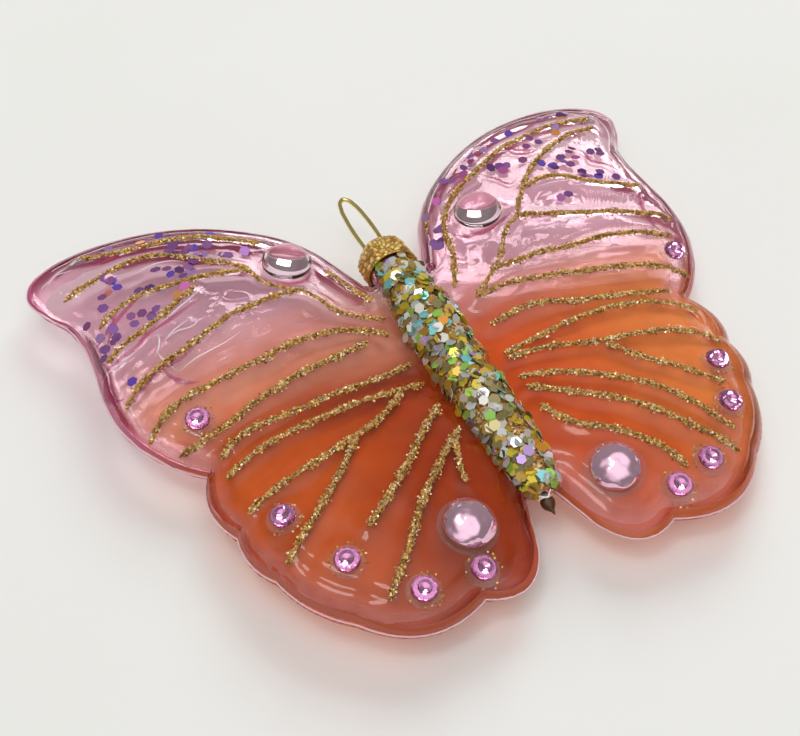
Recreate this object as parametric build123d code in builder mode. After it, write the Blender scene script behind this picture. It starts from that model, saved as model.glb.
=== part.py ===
from build123d import *
import math
import os

# A hollow blown glass butterfly, lying flat. +X is its right wing, +Y its head, +Z up.
# Lengths are in millimetres.

# Glass form: two domed wings on each side, pressed to a thin rim.
span = 118.0
length = 95.5
glass_wall = 1.0
fore_round = 125.0
fore_crown = 11.5
hind_round = 88.0
hind_crown = 10.5
root_round = 90.0
root_crown = 7.6
foot_sink = 0.5
overrun = 5.0

# Body, a spindle along Y that ends in the open neck.
body_height = 7.2
body_radius = 4.6
head_reach = 16.9
tail_reach = 36.0
tail_setback = 2.57
neck_radius = 3.9
neck_length = 5.4
coat_thickness = 0.5
coat_seat = 0.02
coat_setback = 0.5
tail_drop_radius = 1.2

# Cap, pressed from sheet, that turns on the neck.
cap_length = 6.2
cap_sheet = 0.45
cap_play = 0.08
cap_swell = 0.75
cap_standoff = 0.7
facet_depth = 0.55
throat_length = 1.5
cap_float = 0.2

# Hanging wire, one loop whose two legs go through the cap into the neck.
wire_diameter = 0.85
leg_reach = 1.8
leg_play = 0.27
hole_play = 0.08
loop_reach = 15.7
loop_bend = 3.2
leg_length = 14.0
leg_straight = 6.0
leg_bend = 3.0

# Stones and the glue that they stand in.
stone_diameter = 4.0
stone_height = 1.6
hind_cabochon_diameter = 8.0
hind_cabochon_height = 3.0
fore_cabochon_diameter = 8.5
fore_cabochon_height = 3.6
glue_rim = 0.5
glue_lift = 0.35

# Glitter lines drawn along the wings.
vein_width = 1.6
twig_width = 1.1
bead_height = 0.7
rim_margin = 0.4

# Shares of single pieces: a stone's girdle and table, the cap's mouth and belly, and how far
# the tail's drop hangs.
girdle_share = 0.25
table_share = 0.5
mouth_swell_share = 0.5
belly_share = 0.32
drop_sink_share = 1.25

# Counts
cap_facets = 6
stone_facets = 12

half_span = span / 2
half_length = length / 2

# Trimming keeps its clearances on a smaller butterfly: its sizes hold for the span and length that
# it is drawn for here, and it shrinks with the side that shrank most.
drawn_size = (118.0, 95.5)
trim_scale = min(span / drawn_size[0], length / drawn_size[1])
stone_across = stone_diameter * trim_scale
hind_cabochon_across = hind_cabochon_diameter * trim_scale
fore_cabochon_across = fore_cabochon_diameter * trim_scale
glue_reach = glue_rim * trim_scale
vein_across = vein_width * trim_scale
twig_across = twig_width * trim_scale

# Plan of one side, as shares of half the span and half the length: the forewing's edge from
# the head to the notch, then the hindwing's lobes as (top of the lobe, end of the lobe). The
# edge leaves the body where the head ends, and comes back to it just short of the tail.
head_root_share = 0.093
fore_edge_shares = [
    (0.125, 0.45), (0.173, 0.586), (0.241, 0.70), (0.339, 0.804),
    (0.492, 0.917), (0.695, 0.99), (0.814, 1.0), (0.924, 0.968), (0.986, 0.905),
    (1.0, 0.838), (0.976, 0.745), (0.925, 0.637), (0.905, 0.524), (0.905, 0.377),
    (0.912, 0.251), (0.897, 0.096), (0.858, -0.02), (0.803, -0.117), (0.744, -0.184),
]
hind_lobe_shares = [
    ((0.775, -0.308), (0.742, -0.446)),
    ((0.741, -0.545), (0.702, -0.639)),
    ((0.659, -0.762), (0.576, -0.873)),
    ((0.427, -0.996), (0.269, -0.962)),
    ((0.180, -0.988), (0.085, -0.877)),
]
tail_root_share = 0.04
fore_centre_shares = (0.525, 0.438)
hind_centre_shares = (0.407, -0.505)
root_centre_shares = (0.22, -0.06)

# Body from tail to head: share of the body radius, share of the way along.
body_shares = [
    (0.41, 0.02), (0.63, 0.07), (0.80, 0.20), (0.89, 0.39),
    (0.91, 0.59), (1.0, 0.75), (0.95, 0.88),
]

# Stones: name, side, place as shares of half the span and half the length.
stone_shares = {
    "rhinestone_left_1": (-1, 0.714, -0.017),
    "rhinestone_left_2": (-1, 0.631, -0.496),
    "rhinestone_left_3": (-1, 0.542, -0.722),
    "rhinestone_left_4": (-1, 0.408, -0.896),
    "rhinestone_left_5": (-1, 0.253, -0.902),
    "rhinestone_right_1": (1, 0.778, -0.015),
    "rhinestone_right_2": (1, 0.625, -0.540),
    "rhinestone_right_3": (1, 0.571, -0.706),
    "rhinestone_right_4": (1, 0.420, -0.865),
    "rhinestone_right_5": (1, 0.307, -0.902),
}
hind_cabochon_shares = {
    "hind_cabochon_left": (-1, 0.232, -0.758),
    "hind_cabochon_right": (1, 0.188, -0.762),
}
fore_cabochon_shares = {
    "fore_cabochon_left": (-1, 0.292, 0.496),
    "fore_cabochon_right": (1, 0.314, 0.444),
}

# Glitter lines, drawn by hand, so the two sides differ a little.
left_fore_shares = [
    [(0.82, 0.90), (0.69, 0.84), (0.55, 0.81), (0.42, 0.73), (0.33, 0.64)],
    [(0.19, 0.42), (0.16, 0.32), (0.12, 0.23)],
    [(0.91, 0.71), (0.78, 0.75), (0.64, 0.76), (0.51, 0.64), (0.40, 0.53)],
    [(0.85, 0.50), (0.73, 0.57), (0.60, 0.56), (0.47, 0.54), (0.40, 0.51)],
    [(0.87, 0.35), (0.72, 0.42), (0.57, 0.51)],
    [(0.87, 0.14), (0.78, 0.21), (0.66, 0.26), (0.54, 0.32), (0.42, 0.35), (0.29, 0.35)],
    [(0.85, -0.01), (0.73, 0.07), (0.61, 0.09), (0.49, 0.11), (0.36, 0.14), (0.24, 0.13), (0.13, 0.06)],
    [(0.20, 0.05), (0.32, 0.03), (0.44, 0.00), (0.56, -0.04), (0.68, -0.085), (0.79, -0.10)],
]
left_fore_twig_shares = [
    [(0.40, 0.52), (0.38, 0.44), (0.33, 0.38), (0.29, 0.34), (0.22, 0.20), (0.11, 0.14)],
]
left_hind_shares = [
    [(0.12, -0.08), (0.24, -0.10), (0.37, -0.11), (0.50, -0.12), (0.62, -0.13), (0.70, -0.175)],
    [(0.12, -0.18), (0.28, -0.18), (0.43, -0.19), (0.58, -0.21), (0.71, -0.26)],
    [(0.19, -0.19), (0.31, -0.29), (0.44, -0.34), (0.58, -0.38), (0.70, -0.42)],
    [(0.37, -0.32), (0.47, -0.45), (0.57, -0.55), (0.67, -0.64)],
    [(0.12, -0.29), (0.21, -0.39), (0.30, -0.50), (0.39, -0.59), (0.46, -0.65)],
    [(0.11, -0.41), (0.21, -0.52), (0.31, -0.64), (0.40, -0.77), (0.49, -0.88)],
]
left_hind_twig_shares = [
    [(0.12, -0.42), (0.16, -0.52), (0.18, -0.62)],
]
right_fore_shares = [
    [(0.89, 0.81), (0.76, 0.81), (0.63, 0.78), (0.51, 0.73), (0.40, 0.66), (0.29, 0.58),
     (0.205, 0.46), (0.17, 0.30), (0.12, 0.17)],
    [(0.87, 0.74), (0.73, 0.70), (0.60, 0.61), (0.49, 0.49)],
    [(0.49, 0.48), (0.61, 0.49), (0.70, 0.40), (0.83, 0.33)],
    [(0.41, 0.36), (0.51, 0.30), (0.63, 0.25), (0.75, 0.20), (0.85, 0.13)],
    [(0.24, 0.17), (0.37, 0.16), (0.49, 0.14), (0.61, 0.13), (0.72, 0.10), (0.80, 0.06)],
    [(0.16, 0.09), (0.29, 0.08), (0.41, 0.04), (0.54, 0.0), (0.67, -0.045), (0.78, -0.115)],
]
right_fore_twig_shares = [
    [(0.49, 0.49), (0.45, 0.43), (0.41, 0.36), (0.36, 0.32), (0.28, 0.20), (0.16, 0.10)],
    [(0.155, 0.48), (0.18, 0.53)],
]
right_hind_shares = [
    [(0.15, -0.04), (0.29, -0.03), (0.42, -0.09), (0.55, -0.13), (0.68, -0.17)],
    [(0.13, -0.18), (0.25, -0.17), (0.37, -0.16), (0.50, -0.17), (0.62, -0.21), (0.70, -0.30)],
    [(0.13, -0.20), (0.25, -0.24), (0.37, -0.30), (0.49, -0.33), (0.61, -0.38), (0.69, -0.46)],
    [(0.38, -0.31), (0.44, -0.43), (0.52, -0.53), (0.60, -0.63)],
    [(0.12, -0.30), (0.21, -0.35), (0.31, -0.44), (0.41, -0.55), (0.48, -0.67), (0.53, -0.80)],
    [(0.12, -0.35), (0.22, -0.46), (0.33, -0.58), (0.42, -0.72), (0.51, -0.87)],
    [(0.12, -0.44), (0.16, -0.55), (0.25, -0.65), (0.32, -0.76), (0.355, -0.86)],
]

fore_x = fore_centre_shares[0] * half_span
fore_y = fore_centre_shares[1] * half_length
hind_x = hind_centre_shares[0] * half_span
hind_y = hind_centre_shares[1] * half_length
root_x = root_centre_shares[0] * half_span
root_y = root_centre_shares[1] * half_length
vein_floor = fore_crown / 2
neck_end = head_reach + neck_length
cap_mouth = head_reach + cap_standoff
cap_end = cap_mouth + cap_length
throat_radius = neck_radius + cap_play
shoulder_radius = throat_radius + cap_sheet
belly_radius = shoulder_radius + cap_swell
facet_apothem = belly_radius - facet_depth
plate_radius = leg_reach + wire_diameter + cap_sheet
wire_radius = wire_diameter / 2
splay_reach = neck_radius - glass_wall - wire_radius - leg_play

os.makedirs("parts", exist_ok=True)


def inward(points, step):
    """Points of an open path moved sideways, to the right of the way it runs."""
    moved = []
    for i, here in enumerate(points):
        before = points[max(i - 1, 0)]
        after = points[min(i + 1, len(points) - 1)]
        run = (Vector(*after) - Vector(*before)).normalized()
        moved.append((here[0] + run.Y * step, here[1] - run.X * step))
    return moved


def placed(shares, side):
    """Shares of half the span and half the length as points in plan."""
    return [(side * along * half_span, up * half_length) for along, up in shares]


def lens(x, y, crown, bend, grow):
    """One domed form, the same above as below, grown outwards."""
    with BuildPart() as form:
        with Locations((x, y, crown - bend)):
            Sphere(bend + grow, rotation=(90, 0, 0))
        with Locations((x, y, bend - foot_sink)):
            Sphere(bend + grow, rotation=(90, 0, 0), mode=Mode.INTERSECT)
    return form.part


def lenses(side, grow):
    """The domed forms of one side's two wings and of the root that joins them, grown outwards."""
    fore = lens(side * fore_x, fore_y, fore_crown, fore_round, grow)
    hind = lens(side * hind_x, hind_y, hind_crown, hind_round, grow)
    root = lens(side * root_x, root_y, root_crown, root_round, grow)
    with BuildPart() as domes:
        add(fore)
        add(hind)
        add(root)
    return domes.part


def plan_prism(side, inset, floor):
    """One side's plan, drawn in by a margin and raised from a floor."""
    edge = [(half_span * head_root_share, head_reach)]
    edge += [(half_span * u, half_length * v) for u, v in fore_edge_shares]
    lobes = [edge[-1]]
    for top, end in hind_lobe_shares:
        lobes.append((half_span * top[0], half_length * top[1]))
        lobes.append((half_span * end[0], half_length * end[1]))
    tail = (half_span * tail_root_share, tail_setback - tail_reach)
    rim = inward(edge + lobes[1:] + [tail], inset)
    rim = [(side * x, y) for x, y in rim]
    fore = rim[:len(edge)]
    rest = rim[len(edge) - 1:]
    with BuildPart() as prism:
        with BuildSketch(Plane.XY.offset(floor)):
            with BuildLine():
                Spline(*fore)
                for k in range(0, len(rest) - 2, 2):
                    ThreePointArc(rest[k], rest[k + 1], rest[k + 2])
                Line(rest[-2], rest[-1])
                Line(rest[-1], (0, rest[-1][1]))
                Line((0, rest[-1][1]), (0, fore[0][1]))
                Line((0, fore[0][1]), fore[0])
            make_face()
        extrude(amount=fore_crown + overrun)
    return prism.part


def body_edge(grow):
    """The body's half outline from tail to head, grown outwards, as (distance out, along)."""
    run = head_reach + tail_reach + grow
    stations = [(0, -tail_reach - grow)]
    for width, along in body_shares:
        stations.append((width * body_radius + grow, along * run - tail_reach - grow))
    stations.append((neck_radius + grow, head_reach))
    return stations


def body_form(grow, ahead):
    """The body's spindle, grown outwards, with a plain stem on its head."""
    edge = body_edge(grow)
    with BuildPart() as form:
        with BuildSketch(Plane.XY.offset(body_height)):
            with BuildLine():
                Spline(*edge)
                Line(edge[-1], (edge[-1][0], ahead))
                Line((edge[-1][0], ahead), (0, ahead))
                Line((0, ahead), edge[0])
            make_face()
        revolve(axis=Axis((0, 0, body_height), (0, 1, 0)))
    return form.part


def seat(side, along, up):
    """The plane that touches a wing's dome at a place in plan, and the dome's outward way."""
    x = side * along * half_span
    y = up * half_length
    domes = []
    for cx, cy, crown, bend in (
        (fore_x, fore_y, fore_crown, fore_round),
        (hind_x, hind_y, hind_crown, hind_round),
    ):
        fall = (x - side * cx) ** 2 + (y - cy) ** 2
        centre = Vector(side * cx, cy, crown - bend)
        domes.append((centre.Z + math.sqrt(bend**2 - fall), centre))
    z, centre = max(domes, key=lambda dome: dome[0])
    spot = Vector(x, y, z)
    return Plane(origin=spot, z_dir=spot - centre)


def bead(side, lines, twigs):
    """Glitter lines of one wing, a thin layer on its dome."""
    lens_low = lenses(side, 0)
    lens_high = lenses(side, bead_height)
    inside = plan_prism(side, rim_margin, vein_floor)
    with BuildPart() as layer:
        with BuildSketch(Plane.XY.offset(vein_floor)):
            for shares, width in [(s, vein_across) for s in lines] + [(s, twig_across) for s in twigs]:
                path = placed(shares, side)
                near = inward(path, width / 2)
                far = inward(path, -width / 2)
                with BuildLine():
                    Spline(*near)
                    Line(near[-1], far[-1])
                    Spline(*reversed(far))
                    Line(far[0], near[0])
                make_face()
        extrude(amount=fore_crown)
        add(inside, mode=Mode.INTERSECT)
        add(lens_high, mode=Mode.INTERSECT)
        add(lens_low, mode=Mode.SUBTRACT)
    return layer.part


def wing_form(side, grow, floor):
    """One side's pair of wings: its plan, carried up from a floor to the domes."""
    prism = plan_prism(side, -grow, floor)
    domes = lenses(side, grow)
    with BuildPart() as wing:
        add(prism)
        add(domes, mode=Mode.INTERSECT)
    return wing.part


def stone_on(place, diameter, height):
    """A faceted stone with a flat back, standing clear of the dome by the glue's lift."""
    base = seat(*place).offset(glue_lift)
    with BuildPart() as stone:
        with BuildSketch(base):
            RegularPolygon(diameter / 2, stone_facets)
        extrude(amount=height * girdle_share)
        with BuildSketch(base.offset(height * girdle_share)):
            RegularPolygon(diameter / 2, stone_facets)
        with BuildSketch(base.offset(height)):
            RegularPolygon(diameter / 2 * table_share, stone_facets)
        loft(ruled=True)
    return stone.part


def cabochon_on(place, diameter, height):
    """A smooth domed stone with a flat back, standing clear of the dome by the glue's lift."""
    base = seat(*place).offset(glue_lift)
    upright = Plane(origin=base.origin, x_dir=base.x_dir, z_dir=-base.y_dir)
    girdle = height * girdle_share
    reach = diameter / 2
    rise = height - girdle
    ball = (reach**2 + rise**2) / (2 * rise)
    lean = math.asin(reach / ball) / 2
    bulge = (ball * math.sin(lean), height - ball + ball * math.cos(lean))
    with BuildPart() as stone:
        with BuildSketch(upright):
            with BuildLine():
                Line((0, 0), (reach, 0))
                Line((reach, 0), (reach, girdle))
                ThreePointArc((reach, girdle), bulge, (0, height))
                Line((0, height), (0, 0))
            make_face()
        revolve(axis=Axis(base.origin, base.z_dir))
    return stone.part


def glue_under(place, diameter):
    """A ring-edged bed of clear glue between a flat stone and the dome."""
    base = seat(*place).offset(glue_lift)
    domes = lenses(place[0], 0)
    with BuildPart() as glue:
        with BuildSketch(base):
            Circle(diameter / 2 + glue_reach)
        extrude(amount=-(glue_lift + glass_wall))
        add(domes, mode=Mode.SUBTRACT)
    return glue.part


# Glass: the outer form, hollowed to an even wall and open at the neck.
right_form = wing_form(1, 0, 0)
left_form = wing_form(-1, 0, 0)
body_outside = body_form(0, neck_end)
right_room = wing_form(1, -glass_wall, glass_wall)
left_room = wing_form(-1, -glass_wall, glass_wall)
body_room = body_form(-glass_wall, neck_end + overrun)

with BuildPart() as glass_form:
    add(right_form)
    add(left_form)
    add(body_outside)

with BuildPart() as glass_shell:
    add(glass_form.part)
    add(right_room, mode=Mode.SUBTRACT)
    add(left_room, mode=Mode.SUBTRACT)
    add(body_room, mode=Mode.SUBTRACT)
glass_shell.part.label = "glass_shell"
export_step(glass_shell.part, "parts/glass_shell.step")

# Glitter coat: a crust over the upper half of the body, down to the wings and short of the cap.
coat_inside = body_edge(coat_seat)
coat_outside = body_edge(coat_seat + coat_thickness)
with BuildPart() as body_glitter:
    with BuildSketch(Plane.XY.offset(body_height)):
        with BuildLine():
            Spline(*coat_inside)
            Line(coat_inside[-1], coat_outside[-1])
            Spline(*reversed(coat_outside))
            Line(coat_outside[0], coat_inside[0])
        make_face()
    revolve(axis=Axis((0, 0, body_height), (0, -1, 0)), revolution_arc=180)
    split(bisect_by=Plane.XZ.offset(coat_setback - head_reach), keep=Keep.TOP)
    add(right_form, mode=Mode.SUBTRACT)
    add(left_form, mode=Mode.SUBTRACT)
body_glitter.part.label = "body_glitter"
export_step(body_glitter.part, "parts/body_glitter.step")

# A drop of glue that ends the tail, under the glitter coat's edge.
with BuildPart() as tail_drop:
    with Locations((0, -tail_reach, body_height - tail_drop_radius * drop_sink_share)):
        Sphere(tail_drop_radius, rotation=(90, 0, 0))
    add(glass_form.part, mode=Mode.SUBTRACT)
tail_drop.part.label = "tail_drop"
export_step(tail_drop.part, "parts/tail_drop.step")

# Cap: a six-sided acorn of thin metal, running on the neck's end, with two holes in its top.
axis_of_cap = Axis((0, 0, body_height), (0, 1, 0))
cap_top = Plane(origin=(0, cap_end, body_height), x_dir=(1, 0, 0), z_dir=(0, 1, 0))
bore_radius = facet_apothem - cap_sheet
with BuildPart() as cap:
    with BuildSketch(Plane.XY.offset(body_height)):
        with BuildLine():
            Spline(
                (shoulder_radius + cap_swell * mouth_swell_share, cap_mouth),
                (belly_radius, cap_mouth + cap_length * belly_share),
                (shoulder_radius, neck_end),
                (plate_radius, cap_end),
            )
            Line((plate_radius, cap_end), (0, cap_end))
            Line((0, cap_end), (0, cap_mouth))
            Line((0, cap_mouth), (shoulder_radius + cap_swell * mouth_swell_share, cap_mouth))
        make_face()
    revolve(axis=axis_of_cap)
    with BuildSketch(cap_top):
        RegularPolygon(facet_apothem, cap_facets, major_radius=False)
    extrude(amount=-cap_length, mode=Mode.INTERSECT)
    with BuildSketch(Plane.XY.offset(body_height)):
        with BuildLine():
            Polyline(
                (0, cap_mouth - overrun),
                (bore_radius, cap_mouth - overrun),
                (bore_radius, neck_end - throat_length - bore_radius + throat_radius),
                (throat_radius, neck_end - throat_length),
                (throat_radius, neck_end + cap_float),
                (plate_radius - cap_sheet, cap_end - cap_sheet),
                (0, cap_end - cap_sheet),
                close=True,
            )
        make_face()
    revolve(axis=axis_of_cap, mode=Mode.SUBTRACT)
    with BuildSketch(cap_top):
        with Locations((leg_reach, 0), (-leg_reach, 0)):
            Circle(wire_radius + hole_play)
    extrude(amount=-cap_length, mode=Mode.SUBTRACT)
cap.part.label = "cap"
export_step(cap.part, "parts/cap.step")

# Hanging wire: two legs up through the cap and a long bend, the legs sprung out in the neck.
bend_y = cap_end + loop_reach - wire_radius - loop_bend
bend_points = [
    (-leg_reach * math.cos(turn), bend_y + loop_bend * math.sin(turn))
    for turn in (0, math.pi / 6, math.pi / 3, math.pi / 2, 2 * math.pi / 3, 5 * math.pi / 6, math.pi)
]
leg_points = [
    (leg_reach, bend_y),
    (leg_reach, cap_end - leg_straight),
    (splay_reach, cap_end - leg_straight - leg_bend),
    (splay_reach, cap_end - leg_length),
]
with BuildPart() as hanger_wire:
    with BuildLine(Plane.XY.offset(body_height)):
        FilletPolyline(*[(-x, y) for x, y in reversed(leg_points)], radius=leg_bend)
        Spline(*bend_points, tangents=((0, 1), (0, -1)))
        FilletPolyline(*leg_points, radius=leg_bend)
    with BuildSketch(Plane(origin=(-splay_reach, cap_end - leg_length, body_height), z_dir=(0, 1, 0))):
        Circle(wire_radius)
    sweep()
hanger_wire.part.label = "hanger_wire"
export_step(hanger_wire.part, "parts/hanger_wire.step")

# Stones, each on its own bed of glue.
for name, place in stone_shares.items():
    gem = stone_on(place, stone_across, stone_height)
    gem.label = name
    export_step(gem, f"parts/{name}.step")
    glue = glue_under(place, stone_across)
    glue.label = f"{name}_glue"
    export_step(glue, f"parts/{name}_glue.step")
for places, diameter, height in (
    (hind_cabochon_shares, hind_cabochon_across, hind_cabochon_height),
    (fore_cabochon_shares, fore_cabochon_across, fore_cabochon_height),
):
    for name, place in places.items():
        gem = cabochon_on(place, diameter, height)
        gem.label = name
        export_step(gem, f"parts/{name}.step")
        glue = glue_under(place, diameter)
        glue.label = f"{name}_glue"
        export_step(glue, f"parts/{name}_glue.step")

# Glitter lines, one group on each wing.
for name, side, lines, twigs in (
    ("veins_left_fore", -1, left_fore_shares, left_fore_twig_shares),
    ("veins_left_hind", -1, left_hind_shares, left_hind_twig_shares),
    ("veins_right_fore", 1, right_fore_shares, right_fore_twig_shares),
    ("veins_right_hind", 1, right_hind_shares, []),
):
    layer = bead(side, lines, twigs)
    layer.label = name
    export_step(layer, f"parts/{name}.step")
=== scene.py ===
import bmesh
import bpy
import numpy as np
from mathutils import Matrix


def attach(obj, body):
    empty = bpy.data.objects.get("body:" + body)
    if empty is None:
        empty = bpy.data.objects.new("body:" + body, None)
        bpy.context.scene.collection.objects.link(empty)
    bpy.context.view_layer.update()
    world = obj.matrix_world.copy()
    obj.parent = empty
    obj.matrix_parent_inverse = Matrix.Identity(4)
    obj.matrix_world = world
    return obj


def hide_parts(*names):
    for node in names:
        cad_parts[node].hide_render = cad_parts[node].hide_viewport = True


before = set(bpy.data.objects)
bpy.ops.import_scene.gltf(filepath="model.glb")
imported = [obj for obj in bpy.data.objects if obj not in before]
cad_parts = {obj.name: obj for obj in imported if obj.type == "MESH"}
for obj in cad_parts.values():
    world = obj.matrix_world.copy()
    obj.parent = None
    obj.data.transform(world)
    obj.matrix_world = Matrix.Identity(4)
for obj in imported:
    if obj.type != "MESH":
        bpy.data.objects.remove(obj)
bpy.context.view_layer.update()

# Table, light and camera
# A white laminate table top in a pale room, brighter overhead and dim on the far side, with a small skylight
# that gives the sharp glints, a wide soft lamp low behind on the right, and a camera 48 degrees up.

scene = bpy.context.scene
scene.view_settings.view_transform = "Standard"


def linear(code):
    """An sRGB hex colour as linear red, green, blue and 1."""
    srgb = np.array([int(code[i:i + 2], 16) for i in (1, 3, 5)]) / 255
    return [*np.where(srgb <= 0.04045, srgb / 12.92, ((srgb + 0.055) / 1.055) ** 2.4).tolist(), 1.0]


def node(tree, kind, values=(), links=(), **settings):
    """One shader node in a tree, its kind without Blender's prefix: settings on the node, values on its
    sockets, links as (socket, node, output)."""
    made = tree.nodes.new("ShaderNode" + kind)
    for name, value in settings.items():
        setattr(made, name, value)
    for socket, value in dict(values).items():
        made.inputs[socket].default_value = value
    for socket, other, output in links:
        tree.links.new(other.outputs[output], made.inputs[socket])
    return made


def blank(name):
    """A new material and its empty node tree."""
    material = bpy.data.materials.new(name)
    material.use_nodes = True
    material.node_tree.nodes.clear()
    return material, material.node_tree


def blend_stops(ramp, stops):
    """Gives a colour ramp its stops, as (place, sRGB hex)."""
    elements = ramp.color_ramp.elements
    while len(elements) < len(stops):
        elements.new(0.5)
    for element, (place, code) in zip(elements, stops):
        element.position = place
        element.color = linear(code)
    return ramp


def clouded(tree, per_metre, detail, stops):
    """Colour that drifts in soft clouds: noise of so many clouds to a metre, through a ramp's stops."""
    spot = node(tree, "TexCoord")
    cloud = node(tree, "TexNoise", {"Scale": per_metre, "Detail": detail}, [("Vector", spot, "Object")])
    return blend_stops(node(tree, "ValToRGB", links=[("Fac", cloud, "Fac")]), stops)


def unit(vectors):
    """Vectors brought to length 1."""
    return vectors / np.linalg.norm(vectors, axis=-1, keepdims=True)


bright_way, skylight_way = (-0.16, -0.30, 0.94), (-0.22, 0.10, 0.97)
room_strength, skylight_strength = 1.14, 5.5
room = bpy.data.worlds.new("pale_room")
scene.world = room
room.use_nodes = True
tree = room.node_tree
tree.nodes.clear()
aim = node(tree, "TexCoord")
facing, above = (
    node(tree, "VectorMath", {1: way}, [(0, aim, "Generated")], operation="DOT_PRODUCT")
    for way in (bright_way, skylight_way))
walls = blend_stops(node(tree, "ValToRGB", links=[("Fac", facing, "Value")]), [
    (0.0, "#6F6D6B"), (0.45, "#747270"), (0.60, "#969493"), (0.75, "#DAD9D8"), (0.90, "#FAFAF9"),
    (1.0, "#FFFFFF")])
skylight = node(
    tree, "MapRange", {1: 0.988, 2: 0.993, 3: room_strength, 4: skylight_strength},
    [(0, above, "Value")])
sky = node(tree, "Background", links=[("Color", walls, "Color"), ("Strength", skylight, "Result")])
node(tree, "OutputWorld", links=[("Surface", sky, "Background")])

lamp = bpy.data.lights.new("window_lamp", "AREA")
lamp.shape = "RECTANGLE"
lamp.size, lamp.size_y = 1.6, 1.0
lamp.energy = 46.0
lamp_place = np.array([1.24, 1.77, 1.25])
back = unit(lamp_place)
across = unit(np.cross([0, 0, 1], back))
lamp_turn = np.transpose([across, np.cross(back, across), back])
window_lamp = bpy.data.objects.new("window_lamp", lamp)
window_lamp.matrix_world = Matrix(
    [[*row, shift] for row, shift in zip(lamp_turn, lamp_place)] + [[0, 0, 0, 1]])
window_lamp.visible_glossy = False
scene.collection.objects.link(window_lamp)

# White laminate: an even pale sheet, faintly mottled, half matt.
laminate, tree = blank("white_laminate")
tone = clouded(tree, 9.0, 2.0, [(0.3, "#E8E8E4"), (0.7, "#EBEBE8")])
skin = node(tree, "BsdfPrincipled", {"Roughness": 0.55}, [("Base Color", tone, "Color")])
node(tree, "OutputMaterial", links=[("Surface", skin, "BSDF")])
sheet = bpy.data.meshes.new("table_top")
sheet.from_pydata([(-2, -2, 0), (2, -2, 0), (2, 2, 0), (-2, 2, 0)], [], [(0, 1, 2, 3)])
sheet.materials.append(laminate)
table = bpy.data.objects.new("table_top", sheet)
scene.collection.objects.link(table)

lens = bpy.data.cameras.new("camera")
lens.sensor_fit = "HORIZONTAL"
lens.sensor_width = 36.0
lens.lens = 55.45
camera = bpy.data.objects.new("camera", lens)
camera.matrix_world = Matrix([
    [0.9003, 0.3244, -0.2902, -0.06663],
    [-0.4352, 0.6711, -0.6002, -0.12312],
    [0.0, 0.6667, 0.7454, 0.15626],
    [0, 0, 0, 1],
])
scene.collection.objects.link(camera)
scene.camera = camera

# Glass shell
# One piece of thin glass, blown into a two-part mould: two pairs of pillowed wings with ribs under
# the veins and a clear border, a body between them and an open neck. Pink all through.

half_span, half_length = 59.0, 47.75
head_end, tail_root, tail_end, neck_end = 16.9, -33.43, -36.0, 22.3
head_half, tail_half = 5.487, 2.36
body_axis, body_radius = 7.2, 4.6
wall, rim_inset, head_inset, tail_inset, least_hollow = 0.95, 1.25, 1.4, 1.3, 0.05
rim_rounding, inner_rounding = 2.6, 1.2
dome_blend, body_blend, seat_depth = 0.8, 0.3, 0.5
seam_up, seam_drop, seam_half_width, seam_half_height, seam_shift = 5.4, 0.5, 0.16, 0.13, 0.02
rib_rise, rib_more, rib_reach = 0.36, 0.06, 1.5
groove_depth, groove_place, groove_reach = 0.18, 3.1, 1.4
crease_depth, crease_place, crease_reach = 0.16, 2.5, 0.8
border_drop = 0.55
# Domes of the wings: middle in plan, height of the crown, radius of the sphere.
domes = [(30.975, 20.9145, 11.5, 125.0), (24.013, -24.114, 10.5, 88.0), (12.98, -2.865, 7.6, 90.0)]
# Outline of the wings, as shares of half the span and half the length.
fore_edge = [
    (0.125, 0.45), (0.173, 0.586), (0.241, 0.70), (0.339, 0.804), (0.492, 0.917), (0.695, 0.99),
    (0.814, 1.0), (0.924, 0.968), (0.986, 0.905), (1.0, 0.838), (0.976, 0.745), (0.925, 0.637),
    (0.905, 0.524), (0.905, 0.377), (0.912, 0.251), (0.897, 0.096), (0.858, -0.02),
    (0.803, -0.117), (0.744, -0.184),
]
hind_lobes = [
    ((0.775, -0.308), (0.742, -0.446)), ((0.741, -0.545), (0.702, -0.639)),
    ((0.659, -0.762), (0.576, -0.873)), ((0.427, -0.996), (0.269, -0.962)),
    ((0.180, -0.988), (0.085, -0.877)),
]
# Body: shares of its radius, and of its length from the tail.
body_stations = [
    (0.0, 0.0), (0.41, 0.02), (0.63, 0.07), (0.80, 0.20), (0.89, 0.39), (0.91, 0.59), (1.0, 0.75),
    (0.95, 0.88), (0.848, 1.0),
]
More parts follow.
